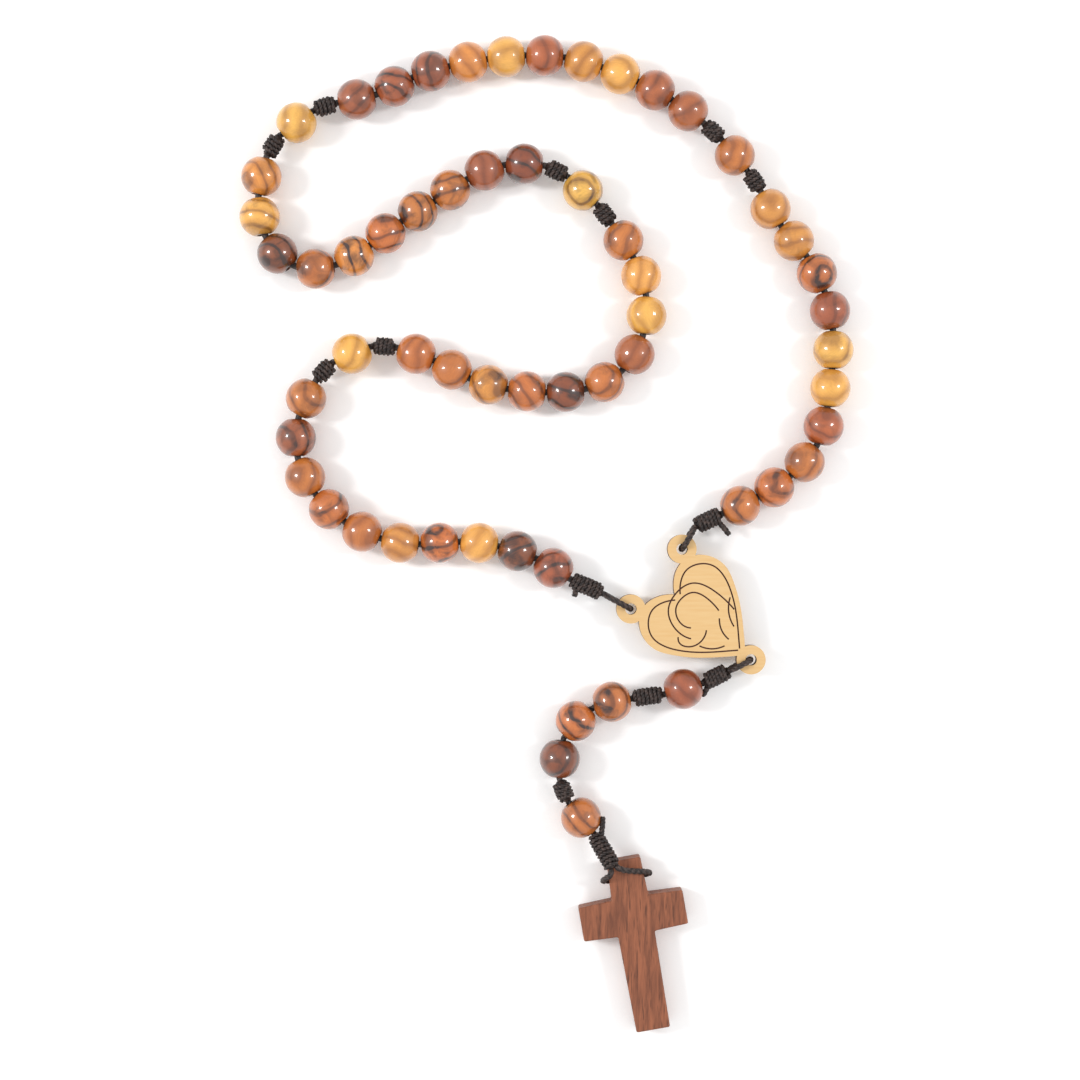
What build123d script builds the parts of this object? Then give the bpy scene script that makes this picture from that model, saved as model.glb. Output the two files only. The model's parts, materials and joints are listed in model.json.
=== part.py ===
from build123d import *
import os
from math import cos, degrees, radians, sin, sqrt, tan

# Bead sizes
bead_diameter = 8.1
bead_end_cut = 0.35
bead_rim_round = 0.2
bead_gap = 0.14
bore_clearance = 0.8

# Cord and knot sizes
cord_diameter = 1.3
strand_gap = 0.06
bend_slack = 0.2
widest_bend = 30.0
knot_diameter = 3.3
knot_end_diameter = 2.8
coil_pitch = 0.85
coil_depth = 0.22
knot_clearance = 0.45
decade_knot_length = 5.2
tail_length = 4.8
tail_inset = 1.8
tail_lean = 0.55

# Medal sizes
heart_width = 21.8
medal_thickness = 3.0
tab_diameter = 5.8
tab_hole_clearance = 0.95
engraving_depth = 0.2
engraving_width = 0.3
medal_heading = -40.5

# Cross sizes
cross_height = 34.5
cross_bar = 21.1
cross_thickness = 5.0
limb_width = 7.4
limb_end_width = 6.8
cross_edge_round = 0.4
cross_bar_drop = 11.4
cross_hole_drop = 4.0
cross_hole_clearance = 0.7
cross_heading = 10.0
knot_over_gap = 0.35
cross_from_knot = (2.3, -3.1)
cross_loop_gap = 0.35
cross_loop_rise = 0.9
cross_loop_lead = 1.1
eye_neck_share = 0.55
eye_shoulder_share = 0.35

# Eyes of cord through the medal's three tabs: reach to the knot, then the strands' height off the middle
upper_eye_reach, upper_eye_height = 5.4, 2.6
lower_eye_reach, lower_eye_height = 6.6, 2.8
tip_eye_reach, tip_eye_height = 5.0, 2.5

# The loop, link by link: each decade's bead headings, and the knots and large bead between decades
decade_headings = [
    [24, 32, 47, 77, 83, 88, 102, 117, 134, 119],
    [143, 153, 158, 165, 178, 186, 191, 197, 209, 190],
    [256, 279, 312, 364, 392, 399, 389, 397, 382, 356],
    [304, 289, 266, 240, 206, 183, 176, 165, 151, 162],
    [242, 269, 297, 316, 335, 352, 367, 352, 343, 326],
]
between_decades = [[123, 130, 137], [198, 217, 238], [334, 316, 307], [176, 203, 228]]
loop_start = [("eye", upper_eye_reach, 59), ("knot", 6.0, 24)]
loop_finish = [("knot", 7.0, 336), ("eye", lower_eye_reach, 331)]

# The pendant, link by link, down to the knot above the cross
pendant_links = [
    ("eye", tip_eye_reach, -153),
    ("knot", 5.8, -154),
    ("bead", 0, -164),
    ("knot", 6.8, -173),
    ("bead", 0, -170),
    ("bead", 0, -134),
    ("bead", 0, -92),
    ("knot", 4.9, -68),
    ("bead", 0, -50),
    ("knot", 7.6, -60),
]

bead_length = bead_diameter - 2 * bead_end_cut
bead_face_radius = sqrt((bead_diameter / 2) ** 2 - (bead_length / 2) ** 2)
cord_radius = cord_diameter / 2
bore_radius = cord_radius + bore_clearance / 2
bead_height = bead_diameter / 2
strand_offset = cord_radius + strand_gap / 2
tab_hole_radius = cord_radius + tab_hole_clearance / 2
half_heart = heart_width / 2


def along(heading, distance=1.0):
    return Vector(cos(radians(heading)), sin(radians(heading)), 0) * distance


def turn_between(heading, following):
    return abs((following - heading + 180) % 360 - 180)


def half_lengths(links):
    """Each link's two half lengths. A bead's halves grow where the string turns, so rims just clear."""
    headings = [heading for _, _, heading in links]
    turns = [0] + [turn_between(a, b) for a, b in zip(headings, headings[1:])] + [0]
    halves = []
    for i, (kind, length, _) in enumerate(links):
        if kind == "bead":
            grown = [bead_face_radius * tan(radians(turn / 2)) for turn in turns[i : i + 2]]
            halves.append([(bead_length + bead_gap) / 2 + extra for extra in grown])
        else:
            halves.append([length / 2, length / 2])
    return halves


def string_out(links, start):
    """The points where the links meet, from the start point on."""
    points = [start]
    for (_, _, heading), halves in zip(links, half_lengths(links)):
        points.append(points[-1] + along(heading, sum(halves)))
    return points


def close_loop(links, start, finish):
    """Turn every heading a little, by the least that brings the last point to the finish."""
    for _ in range(12):
        missing = finish - string_out(links, start)[-1]
        pulls = [along(link[2] + 90, sum(halves)) for link, halves in zip(links, half_lengths(links))]
        xx = sum(pull.X * pull.X for pull in pulls)
        xy = sum(pull.X * pull.Y for pull in pulls)
        yy = sum(pull.Y * pull.Y for pull in pulls)
        scale = xx * yy - xy * xy
        share_x = (yy * missing.X - xy * missing.Y) / scale
        share_y = (xx * missing.Y - xy * missing.X) / scale
        links = [
            (kind, length, heading + degrees(pull.X * share_x + pull.Y * share_y))
            for (kind, length, heading), pull in zip(links, pulls)
        ]
    return links


def bend_radius(turn, to_face, hold):
    """The largest arc at a turn that keeps the cord clear of the bore mouths and out of its holds."""
    half_turn = tan(radians(turn / 2))
    root = (sqrt(2 * bend_slack) + sqrt(2 * bend_slack + 4 * half_turn * to_face)) / (2 * half_turn)
    return min(root * root, hold / half_turn, widest_bend)


def tube(points, radii):
    """Cord along straight runs, with a tangent arc of its own radius at every corner."""
    runs = [(b - a).normalized() for a, b in zip(points, points[1:])]
    edges, here = [], points[0]
    for corner, into, away, radius in zip(points[1:], runs, runs[1:], radii):
        half_turn = radians(into.get_angle(away) / 2)
        tangent = radius * tan(half_turn)
        middle = corner + (away - into).normalized() * radius * (1 / cos(half_turn) - 1)
        arc_start, arc_end = corner - into * tangent, corner + away * tangent
        edges += [Edge.make_line(here, arc_start), Edge.make_three_point_arc(arc_start, middle, arc_end)]
        here = arc_end
    edges.append(Edge.make_line(here, points[-1]))
    path = Wire(edges)
    print("cord stretch", round(path.length, 1), "mm, arcs", [round(radius, 1) for radius in radii])
    section = Plane(origin=points[0], z_dir=runs[0]) * Circle(cord_radius)
    return sweep(section, path=path)


def bead():
    """A round bead on the Z axis, bored through, with flat ends and worn rims."""
    with BuildPart() as made:
        Sphere(bead_diameter / 2)
        Box(bead_diameter, bead_diameter, bead_length, mode=Mode.INTERSECT)
        Cylinder(bore_radius, bead_length, mode=Mode.SUBTRACT)
        rims = [e for e in made.edges().filter_by(GeomType.CIRCLE) if e.radius > bore_radius + 0.05]
        fillet(rims, bead_rim_round)
    return made.part


def knot(length):
    """A barrel knot on the Z axis, as a stack of coils between two flat ends."""
    coils = max(3, round(length / coil_pitch))
    pitch = length / coils
    valley = knot_diameter / 2 - coil_depth
    valleys = [knot_end_diameter / 2] + [valley] * (coils - 1) + [knot_end_diameter / 2]
    with BuildPart() as made:
        with BuildSketch(Plane.XZ):
            with BuildLine():
                Polyline((valleys[-1], length), (0, length), (0, 0), (valleys[0], 0))
                for i in range(coils):
                    crest = (valleys[i] + valleys[i + 1]) / 2 + coil_depth
                    low, high = (valleys[i], pitch * i), (valleys[i + 1], pitch * (i + 1))
                    ThreePointArc(low, (crest, pitch * (i + 0.5)), high)
            make_face()
        revolve(axis=Axis.Z)
    return made.part


def tail(knot_length, side, at_end):
    """A cut cord end that leaves a knot sideways, leaning away towards its nearer end."""
    height = knot_length - tail_inset if at_end else tail_inset
    lean = tail_lean if at_end else -tail_lean
    start = Plane(origin=(0, 0, height), x_dir=(0, 1, 0), z_dir=(side, 0, lean))
    return start * Cylinder(cord_radius, tail_length, align=(Align.CENTER, Align.CENTER, Align.MIN))


class String:
    """One cord laid out link by link, with its beads, knots and cord stretches."""

    def __init__(self, links, start, end_rise=0.0):
        halves = half_lengths(links)
        flat = string_out(links, start)
        self.links = links
        self.points = [point + Vector(0, 0, bead_height) for point in flat]
        self.points[-1] += Vector(0, 0, end_rise)
        self.centres = [
            self.points[i] + along(link[2], halves[i][0]) for i, link in enumerate(links)
        ]
        self.reach = halves

    def beads(self):
        shape = bead()
        return [
            Plane(origin=self.centres[i], x_dir=(0, 0, 1), z_dir=along(link[2])) * shape
            for i, link in enumerate(self.links)
            if link[0] == "bead"
        ]

    def bores(self):
        return [
            (self.centres[i], along(link[2])) for i, link in enumerate(self.links) if link[0] == "bead"
        ]

    def knot_faces(self, i):
        """A knot's two end face centres, a little inside its link, and its axis."""
        run = self.points[i + 1] - self.points[i]
        axis = run.normalized()
        kinds = [link[0] for link in self.links]
        margins = [
            knot_clearance if 0 <= n < len(kinds) and kinds[n] != "eye" else 0.0 for n in (i - 1, i + 1)
        ]
        return self.points[i] + axis * margins[0], self.points[i + 1] - axis * margins[1], axis

    def knots(self, tails):
        """Every knot, and its cut tails where it has them: {knot number: (side, at_end)}."""
        made = []
        for number, i in enumerate(n for n, link in enumerate(self.links) if link[0] == "knot"):
            low, high, axis = self.knot_faces(i)
            length = (high - low).length
            solid = knot(length)
            if number in tails:
                solid = solid + tail(length, *tails[number])
            made.append(Plane(origin=low, x_dir=axis.cross(Vector(0, 0, 1)), z_dir=axis) * solid)
        return made

    def stretches(self):
        """The cord between neighbouring knots, through the beads that they hold."""
        ends = [i for i, link in enumerate(self.links) if link[0] == "knot"]
        made = []
        for first, last in zip(ends, ends[1:]):
            corners = range(first + 1, last + 1)
            radii = []
            for n in corners:
                before, after = self.links[n - 1], self.links[n]
                turn = turn_between(before[2], after[2])
                to_face = self.reach[n if after[0] == "bead" else n - 1][0] - bead_length / 2
                held = "knot" in (before[0], after[0])
                radii.append(bend_radius(turn, to_face, 0.8 * knot_clearance if held else 0.45 * bead_length))
            path = [self.knot_faces(first)[1], *(self.points[n] for n in corners), self.knot_faces(last)[0]]
            made.append(tube(path, radii))
        return made


def eye(centre, heading, reach, height):
    """A cord eye through a tab's hole, its strands side by side from the knot's flat face."""
    room = tab_diameter / 2 + cord_radius
    neck = room + eye_neck_share * (reach - room)
    shoulder = room + eye_shoulder_share * (reach - room)
    upper = [(reach, strand_offset), (neck, strand_offset), (shoulder, height), (0, height)]
    outline = upper + [(s, -z) for s, z in reversed(upper)]
    place = Plane(origin=centre, x_dir=along(heading), z_dir=along(heading - 90))
    points = [place.from_local_coords(Vector(s, z, 0)) for s, z in outline]
    neck_bend, shoulder_bend, hole_bend = 0.7, 0.75, 1.0
    radii = [neck_bend, shoulder_bend, hole_bend, hole_bend, shoulder_bend, neck_bend]
    return tube(points, radii)


def heart_outline():
    """The heart, from its cleft at the origin to its tip on +X, as shares of half its width."""
    half = [(-0.2, 0.21), (-0.29, 0.5), (-0.16, 0.82), (0.36, 1.0), (0.66, 0.88), (0.97, 0.68)]
    right = [(0, 0), *half, (1.71, 0)]
    left = [(u, -v) for u, v in reversed(right)]
    with BuildSketch() as made:
        with BuildLine():
            for side in (right, left):
                Spline(*[(u * half_heart, v * half_heart) for u, v in side])
        make_face()
    return made.sketch


def tab_centres():
    """The upper, lower and tip tabs' centres, in the heart's own frame."""
    return [
        Vector(-0.44 * half_heart, 0.72 * half_heart),
        Vector(-0.44 * half_heart, -0.72 * half_heart),
        Vector(1.71 * half_heart + 1.35, 0),
    ]


def engraved_lines():
    """The border and the strokes of a veiled mother and child, as shares of half the heart's width."""
    border = [
        (0.07, 0.07), (-0.08, 0.27), (-0.13, 0.48), (-0.08, 0.64),
        (0.2, 0.86), (0.43, 0.85), (0.73, 0.72), (1.05, 0.49), (1.54, 0.02),
    ]
    strokes = [
        border,
        [(u, -v) for u, v in border],
        [(0.75, -0.42), (0.42, -0.47), (0.1, -0.3), (0.0, 0.02), (0.1, 0.36), (0.5, 0.52), (1.0, 0.5)],
        [(0.62, -0.27), (0.38, -0.32), (0.18, -0.18), (0.14, 0.04), (0.22, 0.24), (0.46, 0.33), (0.8, 0.3)],
        [(0.55, -0.55), (0.66, -0.62), (0.85, -0.52), (0.92, -0.3), (0.86, -0.12)],
        [(0.9, 0.2), (1.1, 0.05), (1.28, 0.02)],
        [(0.95, -0.42), (1.15, -0.32), (1.3, -0.12)],
        [(0.8, 0.62), (1.0, 0.36), (1.2, 0.26)],
    ]
    return [[(u * half_heart, v * half_heart) for u, v in stroke] for stroke in strokes]


def engrave(strokes, width):
    """Cut each stroke as a shallow groove in the top face of the part being built."""
    for stroke in strokes:
        with BuildSketch(Plane.XY.offset(medal_thickness / 2)) as groove:
            with BuildLine():
                Spline(*stroke)
            trace(line_width=width)
        extrude(groove.sketch, amount=-engraving_depth, mode=Mode.SUBTRACT)


def medal():
    """The flat heart with its three bored tabs and its engraving, top face up."""
    with BuildPart() as made:
        with BuildSketch():
            add(heart_outline())
            with Locations(*tab_centres()):
                Circle(tab_diameter / 2)
        extrude(amount=medal_thickness / 2, both=True)
        with Locations(*tab_centres()):
            Hole(tab_hole_radius)
        engrave(engraved_lines(), engraving_width)
    return made.part


def cross():
    """The cross face up, its hole's axis on the X axis and its top on +Y."""
    top, foot = cross_hole_drop, cross_hole_drop - cross_height
    bar = cross_hole_drop - cross_bar_drop
    end, root, side = limb_end_width / 2, limb_width / 2, cross_bar / 2
    right = [
        (end, top), (root, bar + root), (side, bar + end),
        (side, bar - end), (root, bar - root), (end, foot),
    ]
    with BuildPart() as made:
        with BuildSketch():
            with BuildLine():
                Polyline(*right, *[(-x, y) for x, y in reversed(right)], close=True)
            make_face()
        extrude(amount=cross_thickness / 2, both=True)
        fillet(made.edges(), cross_edge_round)
        with Locations(Plane.YZ):
            Cylinder(cord_radius + cross_hole_clearance / 2, cross_bar, mode=Mode.SUBTRACT)
    return made.part


def cross_loop(knot_end, knot_axis, place):
    """The cord's loop from the last knot, over the cross, through its side hole and back up."""
    sideways = knot_axis.cross(Vector(0, 0, 1)).normalized() * strand_offset
    out = limb_width / 2 + cord_radius + cross_loop_gap
    over = cross_thickness / 2 + cord_radius + knot_over_gap
    start, finish = knot_end - sideways, knot_end + sideways
    if (start - place.origin).dot(place.x_dir) < (finish - place.origin).dot(place.x_dir):
        start, finish = finish, start
    rise = cross_loop_rise
    local = [(out, rise, over), (out, 0, 0), (-out, 0, 0), (-out, rise, over)]
    middle = [place.from_local_coords(Vector(*point)) for point in local]
    first, last = start + knot_axis * cross_loop_lead, finish + knot_axis * cross_loop_lead
    lead_bend, front_bend, hole_bend, last_bend = 0.8, 1.0, 1.4, 0.7
    radii = [lead_bend, front_bend, hole_bend, hole_bend, front_bend, last_bend]
    return tube([start, first, *middle, last, finish], radii)


# Lay everything out round the medal, whose cleft is at the origin
medal_place = Plane(origin=(0, 0, bead_height), x_dir=along(medal_heading), z_dir=(0, 0, 1))
upper_hole, lower_hole, tip_hole = [medal_place.from_local_coords(c) for c in tab_centres()]
floor = Vector(0, 0, -bead_height)

loop_links = list(loop_start)
for n, headings in enumerate(decade_headings):
    loop_links += [("bead", 0, heading) for heading in headings]
    if n < len(between_decades):
        before, large, after = between_decades[n]
        loop_links += [
            ("knot", decade_knot_length, before), ("bead", 0, large), ("knot", decade_knot_length, after)
        ]
loop_links += loop_finish
loop = String(close_loop(loop_links, upper_hole + floor, lower_hole + floor), upper_hole + floor)

knot_over_cross = cross_thickness + knot_diameter / 2 + knot_over_gap - bead_height
pendant = String(pendant_links, tip_hole + floor, knot_over_cross)
last_low, last_high, last_axis = pendant.knot_faces(len(pendant_links) - 1)
cross_offset = Plane(origin=(0, 0, 0), x_dir=along(cross_heading), z_dir=(0, 0, 1)).from_local_coords(
    Vector(*cross_from_knot)
)
cross_origin = Vector(last_high.X, last_high.Y, cross_thickness / 2) + cross_offset
cross_place = Plane(origin=cross_origin, x_dir=along(cross_heading), z_dir=(0, 0, 1))

loop_tails = {0: (1, True), 9: (-1, False)}
pendant_tails = {0: (-1, True), 3: (-1, False)}
first_eye, last_eye = loop.links[0], loop.links[-1]
loop_cord = [
    *loop.stretches(),
    *loop.knots(loop_tails),
    eye(upper_hole, first_eye[2], upper_eye_reach, upper_eye_height),
    eye(lower_hole, last_eye[2] + 180, lower_eye_reach, lower_eye_height),
]
pendant_cord = [
    *pendant.stretches(),
    *pendant.knots(pendant_tails),
    eye(tip_hole, pendant_links[0][2], tip_eye_reach, tip_eye_height),
    cross_loop(last_high, last_axis, cross_place),
]

nodes = {
    "medal": [medal_place * medal()],
    "cross": [cross_place * cross()],
    "loop_cord": loop_cord,
    "pendant_cord": pendant_cord,
}
loop_beads = loop.beads()
bore_nodes = {}
for n, (solid, bore) in enumerate(zip(loop_beads, loop.bores())):
    decade, place_in_decade = divmod(n, 11)
    if place_in_decade == 10:
        name = f"our_father_bead_{decade + 1}"
    else:
        name = f"decade_{decade + 1}_bead_{place_in_decade + 1:02d}"
    nodes[name] = [solid]
    bore_nodes[name] = bore
pendant_beads = pendant.beads()
nodes["pendant_our_father_beads"] = [pendant_beads[0], pendant_beads[-1]]
nodes["pendant_hail_mary_beads"] = pendant_beads[1:-1]

box = Compound([solid for solids in nodes.values() for solid in solids]).bounding_box()
to_origin = Vector(-(box.min.X + box.max.X) / 2, -(box.min.Y + box.max.Y) / 2, -box.min.Z)

os.makedirs("parts", exist_ok=True)
for name, solids in nodes.items():
    moved = [Pos(to_origin) * solid for solid in solids]
    shape = moved[0] if len(moved) == 1 else Compound(moved)
    shape.label = name
    export_step(shape, f"parts/{name}.step")
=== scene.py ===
import json
import math
import random
import bpy
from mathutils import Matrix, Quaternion, Vector


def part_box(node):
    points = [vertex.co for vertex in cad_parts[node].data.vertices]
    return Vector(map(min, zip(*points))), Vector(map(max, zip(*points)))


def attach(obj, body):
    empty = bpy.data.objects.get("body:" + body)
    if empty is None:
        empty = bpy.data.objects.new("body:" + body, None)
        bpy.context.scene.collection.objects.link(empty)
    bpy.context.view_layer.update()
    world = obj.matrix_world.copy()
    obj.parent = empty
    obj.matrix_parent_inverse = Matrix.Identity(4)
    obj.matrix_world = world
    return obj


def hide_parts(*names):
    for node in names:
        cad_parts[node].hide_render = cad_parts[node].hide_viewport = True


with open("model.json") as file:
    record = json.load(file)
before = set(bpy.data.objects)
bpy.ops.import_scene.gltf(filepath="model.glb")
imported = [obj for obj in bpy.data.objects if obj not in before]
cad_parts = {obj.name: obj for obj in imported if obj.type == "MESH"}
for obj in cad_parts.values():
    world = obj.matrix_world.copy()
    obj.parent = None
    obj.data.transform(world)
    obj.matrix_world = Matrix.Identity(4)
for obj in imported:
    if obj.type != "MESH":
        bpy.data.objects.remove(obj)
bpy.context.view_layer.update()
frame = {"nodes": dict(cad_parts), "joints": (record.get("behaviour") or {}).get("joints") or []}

mm = 0.001


def linearColour(hexCode):  # sRGB hex to linear RGBA
    parts = [int(hexCode[i:i + 2], 16) / 255 for i in (1, 3, 5)]
    return [c / 12.92 if c < 0.04045 else ((c + 0.055) / 1.055) ** 2.4 for c in parts] + [1.0]


def addNode(material, kind, inputs=None, **settings):
    node = material.node_tree.nodes.new(kind)
    stops = settings.pop("stops", [])  # positions and colours, for a ramp
    for name, value in settings.items():
        setattr(node, name, value)
    for i, (position, colour) in enumerate(stops):
        element = node.color_ramp.elements[i] if i < 2 else node.color_ramp.elements.new(position)
        element.position, element.color = position, colour
    for name, value in (inputs or {}).items():
        if isinstance(value, bpy.types.NodeSocket):
            material.node_tree.links.new(value, node.inputs[name])
        else:
            node.inputs[name].default_value = value
    return node


def newMaterial(name):
    material = bpy.data.materials.new(name)
    material.use_nodes = True
    return material, material.node_tree.nodes["Principled BSDF"]


def makeOliveWood():
    # olive wood turned round, oiled and dipped in clear varnish: warm streaks under a bright even gloss
    wood = {"vein": "#33150A", "veinSpacing": 2.7, "heartPatch": 3.6, "fibre": 0.28, "lacquerRipple": 1.3}
    material, shader = newMaterial("varnishedOliveWood")
    grain = addNode(material, "ShaderNodeAttribute", attribute_name="grainSpace").outputs["Vector"]
    # each bead's own tone, times painted shade darkening the colour near the bore mouths
    toneAndBoreShade = addNode(material, "ShaderNodeAttribute", attribute_name="beadToneAndBoreShade").outputs["Color"]
    strength = addNode(material, "ShaderNodeAttribute", attribute_name="veinStrength").outputs["Fac"]
    # growth rings: one period is 0.314 / scale in mm
    rings = addNode(material, "ShaderNodeTexWave", {
        "Vector": grain, "Scale": 0.314 / wood["veinSpacing"], "Distortion": 7.0, "Detail": 2.0,
        "Detail Scale": 0.9}, wave_type="BANDS", bands_direction="X")
    thin = addNode(material, "ShaderNodeValToRGB", {"Fac": rings.outputs["Fac"]},
        stops=[(0.80, (0, 0, 0, 1)), (0.97, (1, 1, 1, 1))])
    patches = addNode(material, "ShaderNodeTexNoise", {
        "Vector": grain, "Scale": 1 / wood["heartPatch"], "Detail": 3.0, "Roughness": 0.55, "Distortion": 0.8})
    heart = addNode(material, "ShaderNodeValToRGB", {"Fac": patches.outputs["Fac"]},
        stops=[(0.47, (0, 0, 0, 1)), (0.66, (1, 1, 1, 1))])
    squeezed = addNode(material, "ShaderNodeMapping", {"Vector": grain, "Scale": (1, 1, 0.12)})
    fibres = addNode(material, "ShaderNodeTexNoise", {
        "Vector": squeezed.outputs["Vector"], "Scale": 1 / wood["fibre"], "Detail": 2.0})
    warm = addNode(material, "ShaderNodeMix", {0: rings.outputs["Fac"], 6: (1.12, 1.1, 1.06, 1), 7: (0.82, 0.72, 0.6, 1)},
        data_type="RGBA", blend_type="MIX").outputs[2]
    body = addNode(material, "ShaderNodeMix", {0: 1.0, 6: toneAndBoreShade, 7: warm},
        data_type="RGBA", blend_type="MULTIPLY").outputs[2]
    streaked = addNode(material, "ShaderNodeMix", {0: fibres.outputs["Fac"], 6: (0.8, 0.74, 0.68, 1), 7: (1.16, 1.14, 1.12, 1)},
        data_type="RGBA", blend_type="MIX").outputs[2]
    body = addNode(material, "ShaderNodeMix", {0: 0.8, 6: body, 7: streaked},
        data_type="RGBA", blend_type="MULTIPLY").outputs[2]
    both = addNode(material, "ShaderNodeMath", {0: thin.outputs["Color"], 1: heart.outputs["Color"]}, operation="ADD")
    amount = addNode(material, "ShaderNodeMath", {0: both.outputs[0], 1: strength}, operation="MULTIPLY", use_clamp=True)
    veined = addNode(material, "ShaderNodeMix", {0: amount.outputs[0], 6: body, 7: linearColour(wood["vein"])},
        data_type="RGBA", blend_type="MIX").outputs[2]
    ripple = addNode(material, "ShaderNodeTexNoise", {"Vector": grain, "Scale": 1 / wood["lacquerRipple"], "Detail": 2.0})
    bump = addNode(material, "ShaderNodeBump", {"Height": ripple.outputs["Fac"], "Strength": 0.35, "Distance": 0.00012})
    material.node_tree.links.new(veined, shader.inputs["Base Color"])
    material.node_tree.links.new(bump.outputs["Normal"], shader.inputs["Coat Normal"])
    shader.inputs["Roughness"].default_value = 0.42
    shader.inputs["IOR"].default_value = 1.5
    shader.inputs["Coat Weight"].default_value = 1.0
    shader.inputs["Coat Roughness"].default_value = 0.07
    shader.inputs["Coat IOR"].default_value = 1.52
    return material


def makeWaxedCord():
    # polyester cord twisted from plies and drawn through wax: near-black brown with a dull greasy sheen
    cord = {"dark": "#1C1413", "light": "#5A4943", "fibre": 0.16}
    material, shader = newMaterial("waxedTwistedCord")
    place = addNode(material, "ShaderNodeTexCoord").outputs["Object"]
    fibres = addNode(material, "ShaderNodeTexNoise", {"Vector": place, "Scale": 1000 / cord["fibre"] / 4, "Detail": 4.0})
    wax = addNode(material, "ShaderNodeTexNoise", {"Vector": place, "Scale": 900.0, "Detail": 2.0})
    ramp = addNode(material, "ShaderNodeValToRGB", {"Fac": fibres.outputs["Fac"]},
        stops=[(0.42, linearColour(cord["dark"])), (0.78, linearColour(cord["light"]))])
    rough = addNode(material, "ShaderNodeMapRange", {"Value": wax.outputs["Fac"], "To Min": 0.38, "To Max": 0.62})
    bump = addNode(material, "ShaderNodeBump", {"Height": fibres.outputs["Fac"], "Strength": 0.5, "Distance": 0.00008})
    material.node_tree.links.new(ramp.outputs["Color"], shader.inputs["Base Color"])
    material.node_tree.links.new(rough.outputs["Result"], shader.inputs["Roughness"])
    material.node_tree.links.new(bump.outputs["Normal"], shader.inputs["Normal"])
    shader.inputs["IOR"].default_value = 1.46
    return material


def makeBurntBirch(faceTop, faceBottom, heading):
    # birch ply cut and engraved by a hot beam: pale silky faces, scorched brown walls and lines
    birch = {"pale": "#DAB882", "honey": "#D2A86C", "cloud": "#D6B07A", "burnt": "#451606", "grain": 0.55}
    material, shader = newMaterial("laserCutBirch")
    coordinates = addNode(material, "ShaderNodeTexCoord")
    turned = addNode(material, "ShaderNodeMapping", {
        "Vector": coordinates.outputs["Object"], "Rotation": (0, 0, -math.radians(heading)), "Scale": (0.07, 1, 1)})
    grain = addNode(material, "ShaderNodeTexNoise", {
        "Vector": turned.outputs["Vector"], "Scale": 1000 / birch["grain"], "Detail": 3.0, "Roughness": 0.6})
    clouds = addNode(material, "ShaderNodeTexNoise", {"Vector": coordinates.outputs["Object"], "Scale": 120.0, "Detail": 2.0})
    ramp = addNode(material, "ShaderNodeValToRGB", {"Fac": grain.outputs["Fac"]},
        stops=[(0.3, linearColour(birch["honey"])), (0.65, linearColour(birch["pale"]))])
    face = addNode(material, "ShaderNodeMix", {0: clouds.outputs["Fac"], 6: ramp.outputs["Color"], 7: linearColour(birch["cloud"])},
        data_type="RGBA", blend_type="MIX").outputs[2]
    height = addNode(material, "ShaderNodeSeparateXYZ", {"Vector": coordinates.outputs["Object"]}).outputs["Z"]
    tilt = addNode(material, "ShaderNodeSeparateXYZ", {"Vector": coordinates.outputs["Normal"]}).outputs["Z"]
    upright = addNode(material, "ShaderNodeMath", {0: tilt}, operation="ABSOLUTE").outputs[0]
    flat = addNode(material, "ShaderNodeMath", {0: upright, 1: 0.8}, operation="GREATER_THAN").outputs[0]
    onTop = addNode(material, "ShaderNodeMath", {0: height, 1: faceTop - 0.00004}, operation="GREATER_THAN").outputs[0]
    under = addNode(material, "ShaderNodeMath", {0: height, 1: faceBottom + 0.00004}, operation="LESS_THAN").outputs[0]
    outside = addNode(material, "ShaderNodeMath", {0: onTop, 1: under}, operation="ADD").outputs[0]
    clean = addNode(material, "ShaderNodeMath", {0: flat, 1: outside}, operation="MULTIPLY").outputs[0]
    colour = addNode(material, "ShaderNodeMix", {0: clean, 6: linearColour(birch["burnt"]), 7: face},
        data_type="RGBA", blend_type="MIX").outputs[2]
    bump = addNode(material, "ShaderNodeBump", {"Height": grain.outputs["Fac"], "Strength": 0.12, "Distance": 0.00006})
    material.node_tree.links.new(colour, shader.inputs["Base Color"])
    material.node_tree.links.new(bump.outputs["Normal"], shader.inputs["Normal"])
    shader.inputs["Roughness"].default_value = 0.58
    return material


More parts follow.
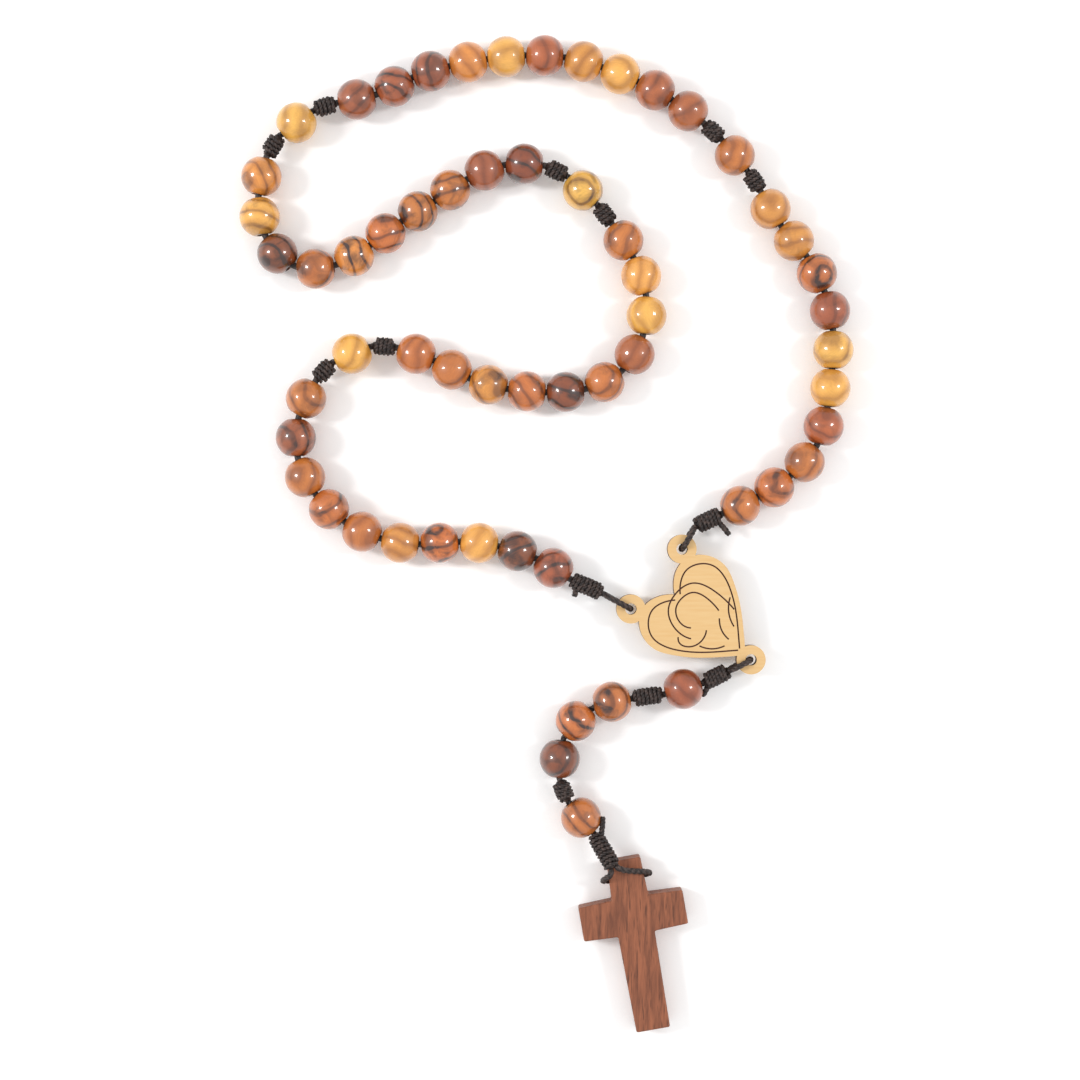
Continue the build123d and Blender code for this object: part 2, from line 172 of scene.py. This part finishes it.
def makeCrossWood(heading):
    # stained hardwood, sawn and sanded but not varnished: matt red brown with long dark pores
    wood = {"light": "#96583A", "dark": "#6A3A24", "pore": "#3E1D0E", "streak": 0.8, "poreWidth": 0.2}
    material, shader = newMaterial("sandedCrossWood")
    place = addNode(material, "ShaderNodeTexCoord").outputs["Object"]
    turned = addNode(material, "ShaderNodeMapping", {
        "Vector": place, "Rotation": (0, 0, -math.radians(heading)), "Scale": (1, 0.09, 1)})
    streaks = addNode(material, "ShaderNodeTexNoise", {
        "Vector": turned.outputs["Vector"], "Scale": 1000 / wood["streak"], "Detail": 4.0, "Roughness": 0.6, "Distortion": 0.4})
    pores = addNode(material, "ShaderNodeTexNoise", {
        "Vector": turned.outputs["Vector"], "Scale": 1000 / wood["poreWidth"] / 2, "Detail": 2.0})
    base = addNode(material, "ShaderNodeValToRGB", {"Fac": streaks.outputs["Fac"]},
        stops=[(0.34, linearColour(wood["dark"])), (0.62, linearColour(wood["light"]))])
    poreMask = addNode(material, "ShaderNodeValToRGB", {"Fac": pores.outputs["Fac"]},
        stops=[(0.58, (0, 0, 0, 1)), (0.72, (0.75, 0.75, 0.75, 1))])
    colour = addNode(material, "ShaderNodeMix", {0: poreMask.outputs["Color"], 6: base.outputs["Color"], 7: linearColour(wood["pore"])},
        data_type="RGBA", blend_type="MIX").outputs[2]
    bump = addNode(material, "ShaderNodeBump", {"Height": pores.outputs["Fac"], "Strength": 0.35, "Distance": 0.0001})
    material.node_tree.links.new(colour, shader.inputs["Base Color"])
    material.node_tree.links.new(bump.outputs["Normal"], shader.inputs["Normal"])
    shader.inputs["Roughness"].default_value = 0.55
    return material


def meshPiece(name, verts, faces, material, body, nodes, slot):
    mesh = bpy.data.meshes.new(name)
    mesh.from_pydata([tuple(v) for v in verts], [], faces)
    mesh.polygons.foreach_set("use_smooth", [True] * len(mesh.polygons))
    mesh.materials.append(material)
    piece = bpy.data.objects.new(name, mesh)
    bpy.context.scene.collection.objects.link(piece)
    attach(piece, body)
    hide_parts(*nodes)
    return piece


def sweepTube(points, radius, sides=8):  # a closed round tube along points, in a turning-free frame
    points = [Vector(p) for p in points]
    along = [(points[min(i + 1, len(points) - 1)] - points[max(i - 1, 0)]).normalized() for i in range(len(points))]
    side = along[0].orthogonal().normalized()
    verts, faces = [], []
    for i, (point, direction) in enumerate(zip(points, along)):
        side = (side - direction * side.dot(direction)).normalized()
        up = direction.cross(side)
        size = radius * (0.6 if i in (0, len(points) - 1) else 1.0)
        for k in range(sides):
            turn = 2 * math.pi * k / sides
            verts.append(point + (side * math.cos(turn) + up * math.sin(turn)) * size)
    for i in range(len(points) - 1):
        for k in range(sides):
            a, b = i * sides + k, i * sides + (k + 1) % sides
            faces.append((a, b, b + sides, a + sides))
    faces.append(tuple(reversed(range(sides))))
    faces.append(tuple(range(len(verts) - sides, len(verts))))
    return verts, faces


def twistPlies(points, radius, plies, lay, sides=8):  # plies laid round a path, one turn every lay
    points = [Vector(p) for p in points]
    offset, plyRadius = radius * 0.46, radius * 0.56
    along = [(points[min(i + 1, len(points) - 1)] - points[max(i - 1, 0)]).normalized() for i in range(len(points))]
    side = along[0].orthogonal().normalized()
    run, lines = 0.0, [[] for _ in range(plies)]
    for i, (point, direction) in enumerate(zip(points, along)):
        side = (side - direction * side.dot(direction)).normalized()
        up = direction.cross(side)
        run += (point - points[i - 1]).length if i else 0
        for k in range(plies):
            turn = 2 * math.pi * (run / lay + k / plies)
            lines[k].append(point + (side * math.cos(turn) + up * math.sin(turn)) * offset)
    return [sweepTube(line, plyRadius, sides) for line in lines]


def joinParts(parts):
    verts, faces = [], []
    for partVerts, partFaces in parts:
        faces += [tuple(i + len(verts) for i in face) for face in partFaces]
        verts += partVerts
    return verts, faces


beadShape = {"radius": 4.05, "face": 1.647, "half": 3.7, "bore": 1.05, "segments": 44}
toneHex = {"P": "#DCA44C", "H": "#CB873A", "M": "#B96B2C", "B": "#A5582A", "R": "#98502C", "D": "#7A3C1A"}
# each bead's tone and how strongly it is veined, 0 to 9
beadLooks = {
    "decade_1": "M5 M4 M3 B3 P1 P2 R3 M6 H2 H1", "decade_2": "B2 B2 P1 H1 B2 P1 H1 R5 R7 R3",
    "decade_3": "H3 P3 D8 M4 H6 M5 M6 M5 R1 D7", "decade_4": "M3 P1 P0 B1 M4 D8 M4 H4 M3 M1",
    "decade_5": "M3 R5 M2 M5 M1 H1 M6 P0 D8 R5", "our_father": "M2 P1 P4 P1",
    "pendant": "R2 M5 M6 D6 M4"}


def beadProfile():
    radius, half, bore, face = (beadShape[k] for k in ("radius", "half", "bore", "face"))
    start = math.asin((half - 0.16) / radius)
    arc = [(radius * math.cos(a), radius * math.sin(a)) for a in (start * (1 - i / 12) for i in range(25))]
    mouth = [(bore + 0.01, half - 0.2), (bore + 0.05, half - 0.06), (bore + 0.17, half), (face - 0.22, half)]
    rim = [(face - 0.05, half - 0.03)]
    return mouth + rim + arc + [(r, -h) for r, h in reversed(mouth + rim)]


def makeBead(name, centre, axis, look, body, nodes, seed):
    chance = random.Random(seed)
    profile, segments = beadProfile(), beadShape["segments"]
    toBore = Vector((0, 0, 1)).rotation_difference(axis)
    grainTurn = Quaternion([chance.gauss(0, 1) for _ in range(4)]).normalized()
    grainShift = Vector([chance.uniform(-40, 40) for _ in range(3)])
    colour = linearColour(toneHex[look[0]])
    lift = [chance.uniform(0.94, 1.07) for _ in range(3)]
    wobble = [chance.uniform(0, 6.28) for _ in range(3)]
    verts, local, paintedBoreShade = [], [], []
    for r, h in profile:
        for k in range(segments):
            turn = 2 * math.pi * k / segments
            worn = 1 - 0.006 * (1 + math.sin(2 * turn + wobble[0] + h) * math.cos(1.3 * h + wobble[1])) / 2
            point = Vector((r * math.cos(turn) * worn, r * math.sin(turn) * worn, h))
            local.append(point)
            verts.append((toBore @ point + centre) * mm)
            # painted shade: the colour is darkened to 0.5 inside the bore mouth and 0.8 around it, where the
            # neighbouring knots shade the bead
            paintedBoreShade.append(0.5 if r < 1.25 else 0.8 if r < 1.6 else 1.0)
    faces, count = [], len(profile)
    for i in range(count):
        j = (i + 1) % count
        for k in range(segments):
            n = (k + 1) % segments
            faces.append((i * segments + k, j * segments + k, j * segments + n, i * segments + n))
    bead = meshPiece(name, verts, faces, oliveWood, body, nodes, "varnished_olive_wood")
    for attribute, kind in (("grainSpace", "FLOAT_VECTOR"), ("beadToneAndBoreShade", "FLOAT_COLOR"), ("veinStrength", "FLOAT")):
        bead.data.attributes.new(attribute, kind, "POINT")
    stored = bead.data.attributes
    stored["grainSpace"].data.foreach_set("vector", [c for p in local for c in grainTurn @ p + grainShift])
    stored["beadToneAndBoreShade"].data.foreach_set("color", [
        c for shade in paintedBoreShade for c in (*(v * shade * l for v, l in zip(colour, lift)), 1.0)])
    stored["veinStrength"].data.foreach_set("value", [int(look[1]) / 9] * len(local))
    return bead


oliveWood = makeOliveWood()
jointOf = {j["child"]: j for j in frame["joints"]}
beadNames = [n for n in sorted(frame["nodes"]) if n.startswith(("decade", "our_father"))]
for seed, name in enumerate(beadNames):
    joint = jointOf[name]
    group, number = name.split("_bead_")
    look = beadLooks[group].split()[int(number) - 1]
    makeBead("bead_" + name, Vector(joint["pos_m"]) * 1000, Vector(joint["axis"]), look, name, [name], seed)

pendantBeads = [  # centre in mm and bore direction, from the medal down
    ((27.33, -31.07, 4.05), -164), ((13.08, -33.63, 4.05), -170), ((5.85, -37.48, 4.05), -134),
    ((2.63, -45.04, 4.05), -92), ((6.92, -56.79, 4.05), -50)]
for i, (centre, heading) in enumerate(pendantBeads):
    node = "pendant_our_father_beads" if i in (0, 4) else "pendant_hail_mary_beads"
    axis = Vector((math.cos(math.radians(heading)), math.sin(math.radians(heading)), 0))
    makeBead(f"pendantBead{i + 1}", Vector(centre), axis, beadLooks["pendant"].split()[i], "pendant", [node], 100 + i)
print("beads", len(beadNames) + len(pendantBeads))

waxedCord = makeWaxedCord()
beadHeight = 4.05
cordLook = {"diameter": 1.3, "ply": 3, "lay": 3.4, "eyeRadius": 0.62}
decadeRoutes = [
    [(34.8, 3.8), (35.2, 4.0), (42.2, 7.1), (48.9, 11.3), (54.5, 17.4), (56.3, 25.2), (57.2, 32.9), (57.5, 40.7),
     (55.8, 48.5), (52.2, 55.6), (46.7, 61.4), (42.9, 68.2), (42.7, 68.6)],
    [(31.7, 81.8), (31.4, 82.1), (25.2, 86.8), (18.3, 90.4), (11.2, 93.3), (3.6, 95.4), (-4.2, 95.7), (-11.9, 94.9),
     (-19.5, 93.5), (-26.9, 91.3), (-34.0, 87.4), (-41.8, 86.1), (-42.2, 86.0)],
    [(-55.8, 75.7), (-56.0, 75.3), (-58.0, 67.4), (-56.7, 59.1), (-50.7, 52.6), (-42.0, 53.2), (-35.2, 57.5),
     (-29.1, 62.5), (-22.3, 66.3), (-16.1, 71.0), (-8.6, 74.1), (-0.3, 73.6), (0.1, 73.4)],
    [(12.9, 62.1), (13.2, 61.7), (17.6, 55.3), (20.3, 47.6), (19.7, 39.4), (15.5, 32.1), (7.9, 28.5), (-0.1, 28.1),
     (-7.8, 28.7), (-15.5, 30.8), (-22.3, 34.7), (-29.8, 37.2), (-30.3, 37.2)],
    [(-45.9, 30.8), (-46.2, 30.5), (-50.0, 23.3), (-50.2, 15.0), (-46.4, 7.6), (-40.5, 2.1), (-33.2, -1.3),
     (-25.3, -2.4), (-17.4, -1.4), (-9.6, -2.4), (-2.0, -4.7), (4.6, -9.1), (5.0, -9.2)]]


def cordSpline(name, route, thickness):  # route points in metres
    curve = bpy.data.curves.new(name, "CURVE")
    curve.dimensions = "3D"
    curve.bevel_depth = thickness / 2
    curve.bevel_resolution = 4
    curve.resolution_u = 12
    spline = curve.splines.new("NURBS")
    spline.points.add(len(route) - 1)
    for point, place in zip(spline.points, route):
        point.co = [*place, 1]
    spline.order_u = 3
    spline.use_endpoint_u = True
    return bpy.data.objects.new(name, curve)


def splinePoints(route):  # where a bare curve along the route really runs
    guide = cordSpline("guide", route, 0.0)
    bpy.context.scene.collection.objects.link(guide)
    mesh = bpy.data.meshes.new_from_object(guide)
    points = [v.co.copy() for v in mesh.vertices]
    bpy.data.meshes.remove(mesh)
    bpy.data.objects.remove(guide)
    return points


def makeCordCurve(name, route, body, node):
    piece = cordSpline(name, route, cordLook["diameter"] * mm)
    piece.data.materials.append(waxedCord)
    bpy.context.scene.collection.objects.link(piece)
    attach(piece, body)
    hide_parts(node)
    return piece


for i, route in enumerate(decadeRoutes):
    cordPiece = makeCordCurve(f"decadeCord{i + 1}", [(x * mm, y * mm, beadHeight * mm) for x, y in route], "loop", "loop_cord")
shortRoutes = {  # short lengths between two knots, and through the pendant's beads
    "loop": [[(40.3, 72.2), (40.1, 72.6), (35.2, 78.5), (34.8, 78.9)], [(-46.3, 84.7), (-46.7, 84.5), (-53.2, 79.7), (-53.5, 79.3)],
             [(3.9, 71.6), (4.3, 71.4), (10.1, 65.9), (10.3, 65.5)], [(-34.6, 37.5), (-35.0, 37.5), (-42.7, 34.3), (-43.0, 34.0)]],
    "pendant": [[(31.5, -29.8), (31.1, -30.0), (23.6, -32.1), (23.1, -32.2)],
                [(17.3, -32.9), (16.8, -33.0), (8.8, -34.4), (2.8, -40.6), (2.5, -49.2), (2.7, -49.6)],
                [(4.2, -53.3), (4.3, -53.7), (9.4, -59.8), (9.6, -60.1)]]}
for body, routes in shortRoutes.items():
    for i, route in enumerate(routes):
        points = [Vector((x, y, beadHeight)) * mm for x, y in route]
        strands = twistPlies(splinePoints(points), cordLook["diameter"] / 2 * mm,
                             cordLook["ply"], cordLook["lay"] * mm)
        meshPiece(f"{body}ShortCord{i + 1}", *joinParts(strands), waxedCord, body, [f"{body}_cord"], "waxed_cord")

knotLook = {"radius": 1.82, "wrap": 0.52, "pitch": 0.86, "core": 1.25, "reach": 0.22}
knotPlaces = {
    "loop": [((29.78, 1.52), (34.84, 3.8)), ((42.69, 68.6), (40.35, 72.21)), ((34.83, 78.85), (31.7, 81.79)),
             ((-42.2, 85.98), (-46.3, 84.66)), ((-53.48, 79.29), (-55.76, 75.65)), ((0.07, 73.43), (3.94, 71.56)),
             ((10.35, 65.52), (12.95, 62.1)), ((-30.3, 37.2), (-34.58, 37.51)), ((-43.0, 34.01), (-45.88, 30.83)),
             ((11.03, -11.88), (5.03, -9.24))],
    "pendant": [((36.31, -27.45), (31.5, -29.79)), ((23.13, -32.2), (17.28, -32.92)), ((2.66, -49.58), (4.16, -53.29)),
                ((9.64, -60.15, 4.21), (13.23, -66.37, 7.0))]}


def wrapKnot(start, end, seed):
    chance = random.Random(seed)
    axis = (end - start).normalized()
    start, end = start - axis * knotLook["reach"], end + axis * knotLook["reach"]
    side = axis.cross(Vector((0, 0, 1))).normalized()
    up = side.cross(axis)
    length, wrap = (end - start).length, knotLook["wrap"] * chance.uniform(0.94, 1.04)
    turns = max(3, round((length - 2 * wrap) / knotLook["pitch"]) + 0.5)
    steps, phase = int(turns * 22), chance.uniform(0, 6.28)
    line = []
    for i in range(steps + 1):
        share = i / steps
        tuck = min(1, min(share, 1 - share) * turns * 2.2)  # both ends dive under the outer turns
        bulge = 1 + 0.05 * math.sin(math.pi * share) + 0.035 * math.sin(7 * share * turns + phase)
        reach = (knotLook["radius"] - wrap) * bulge * (0.8 + 0.2 * tuck)
        turn = 2 * math.pi * turns * share + phase
        rise = wrap + (length - 2 * wrap) * share + 0.07 * math.sin(3 * turn + phase)
        line.append(start + axis * rise + (side * math.cos(turn) + up * math.sin(turn)) * reach)
    core = [start + axis * (length * s) for s in (0.02, 0.3, 0.6, 0.98)]
    return [*twistPlies(line, wrap, 2, 1.5, 7), sweepTube(core, knotLook["core"], 16)]


def cutTail(start, direction, length, seed):
    chance = random.Random(seed)
    bend = direction.cross(Vector((0, 0, 1))) * chance.uniform(-0.25, 0.25)
    points = [start + direction * (length * s) + bend * (s * s * length) for s in (i / 14 for i in range(15))]
    return twistPlies(points, 0.6, 3, 2.6)


tails = {  # knot number: start, direction and length of the cut end
    ("loop", 0): ((33.6, 2.9, 4.0), (0.78, -0.6, -0.1), 4.3), ("loop", 9): ((6.3, -10.4, 4.0), (-0.35, -0.93, 0), 2.3),
    ("pendant", 0): ((32.6, -29.4, 4.0), (-0.25, -0.95, -0.1), 3.4), ("pendant", 3): ((10.6, -61.4, 5.0), (0.25, 0.96, 0.05), 4.9)}
for body, places in knotPlaces.items():
    for i, (low, high) in enumerate(places):
        start, end = (Vector(p if len(p) == 3 else (*p, beadHeight)) for p in (low, high))
        parts = wrapKnot(start, end, 300 + i)
        if (body, i) in tails:
            tailStart, direction, length = tails[(body, i)]
            parts += cutTail(Vector(tailStart), Vector(direction).normalized(), length, i)
        verts, faces = joinParts(parts)
        meshPiece(f"{body}Knot{i + 1:02d}", [v * mm for v in verts], faces, waxedCord, body, [f"{body}_cord"], "waxed_cord")
print("knots", sum(len(p) for p in knotPlaces.values()))


def eyeLine(centre, heading, reach, height, tab=2.9, radius=0.65):
    room = tab + radius
    neck, shoulder = room + 0.55 * (reach - room), room + 0.35 * (reach - room)
    upper = [(reach, 0.68), (neck, 0.68), (shoulder, height), (0, height)]
    outline = upper + [(s, -z) for s, z in reversed(upper)]
    out = Vector((math.cos(math.radians(heading)), math.sin(math.radians(heading)), 0))
    return [Vector(centre) + out * s + Vector((0, 0, z)) for s, z in outline]


eyes = [
    ("upperEye", "loop", (27.01, -3.11, beadHeight), 59.1, 5.4, 2.6), ("lowerEye", "loop", (16.82, -15.05, beadHeight), 151.3, 6.6, 2.8),
    ("tipEye", "pendant", (40.76, -25.18, beadHeight), -153, 5.0, 2.5)]
crossHeading, crossPlace = 10.0, Vector((16.04, -69.03, 2.5))
crossX = Vector((math.cos(math.radians(crossHeading)), math.sin(math.radians(crossHeading)), 0))
crossY = Vector((-crossX.y, crossX.x, 0))
knotEnd = Vector((13.23, -66.37, 7.0))
knotAxis = (knotEnd - Vector((9.64, -60.15, 4.21))).normalized()
besideKnot = knotAxis.cross(Vector((0, 0, 1))).normalized() * 0.68
crossLoop = [knotEnd - besideKnot, knotEnd - besideKnot + knotAxis * 1.1]
crossLoop += [crossPlace + crossX * x + crossY * y + Vector((0, 0, z)) for x, y, z in (
    (4.7, 0.9, 3.5), (4.7, 0, 0), (-4.7, 0, 0), (-4.7, 0.9, 3.5))]
crossLoop += [knotEnd + besideKnot + knotAxis * 1.1, knotEnd + besideKnot]
if (crossLoop[0] - crossPlace).dot(crossX) < (crossLoop[-1] - crossPlace).dot(crossX):
    crossLoop = [crossLoop[-1], crossLoop[-2], *crossLoop[2:-2], crossLoop[1], crossLoop[0]]
lines = [(name, body, eyeLine(*rest)) for name, body, *rest in eyes] + [("crossLoop", "pendant", crossLoop)]
for name, body, line in lines:
    strands = twistPlies(splinePoints([p * mm for p in line]), cordLook["eyeRadius"] * mm,
                         cordLook["ply"], cordLook["lay"] * mm, 9)
    meshPiece(name, *joinParts(strands), waxedCord, body, [f"{body}_cord"], "waxed_cord")
print("eyes and loop", len(lines))

medalLow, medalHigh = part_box("medal")
birch = makeBurntBirch(medalHigh[2], medalLow[2], -40.5)
crossWood = makeCrossWood(crossHeading)
for node, material in (("medal", birch), ("cross", crossWood)):
    for slotIndex in range(len(frame["nodes"][node].material_slots)):
        frame["nodes"][node].material_slots[slotIndex].material = material

studio = {"floor": "#FFFFFF", "fill": 0.85, "left": 3.6, "right": 2.5}


def makeLight(name, place, target, width, height, power):
    lamp = bpy.data.lights.new(name, "AREA")
    lamp.shape, lamp.size, lamp.size_y, lamp.energy = "RECTANGLE", width, height, power
    holder = bpy.data.objects.new(name, lamp)
    holder.location = place
    holder.rotation_euler = (Vector(target) - Vector(place)).to_track_quat("-Z", "Y").to_euler()
    bpy.context.scene.collection.objects.link(holder)


makeLight("leftSoftbox", (-0.68, 0.12, 0.62), (0, 0, 0), 0.17, 0.23, studio["left"])
makeLight("rightSoftbox", (0.66, 0.12, 0.68), (0, 0, 0), 0.15, 0.21, studio["right"])

floorMesh = bpy.data.meshes.new("studioFloor")
floorMesh.from_pydata([(-3, -3, -0.0002), (3, -3, -0.0002), (3, 3, -0.0002), (-3, 3, -0.0002)], [], [(0, 1, 2, 3)])
floorMaterial, floorShader = newMaterial("whitePaperFloor")  # matt paper sweep, no gloss
floorShader.inputs["Base Color"].default_value = linearColour(studio["floor"])
floorShader.inputs["Roughness"].default_value = 0.9
floorShader.inputs["Specular IOR Level"].default_value = 0.1
floorMesh.materials.append(floorMaterial)
floorPiece = bpy.data.objects.new("studioFloor", floorMesh)
bpy.context.scene.collection.objects.link(floorPiece)

world = bpy.data.worlds.new("paleRoom")
world.use_nodes = True
world.node_tree.nodes["Background"].inputs["Color"].default_value = (1, 1, 1, 1)
world.node_tree.nodes["Background"].inputs["Strength"].default_value = studio["fill"]
bpy.context.scene.world = world
bpy.context.scene.view_settings.view_transform = "Standard"  # shows the set colours as they are

camera = bpy.data.cameras.new("cameraAbove")
camera.lens, camera.sensor_width = 75.7, 36.0
cameraHolder = bpy.data.objects.new("cameraAbove", camera)
cameraHolder.location = (-0.0013, -0.0013, 0.458)
bpy.context.scene.collection.objects.link(cameraHolder)
bpy.context.scene.camera = cameraHolder
print("studio ready")
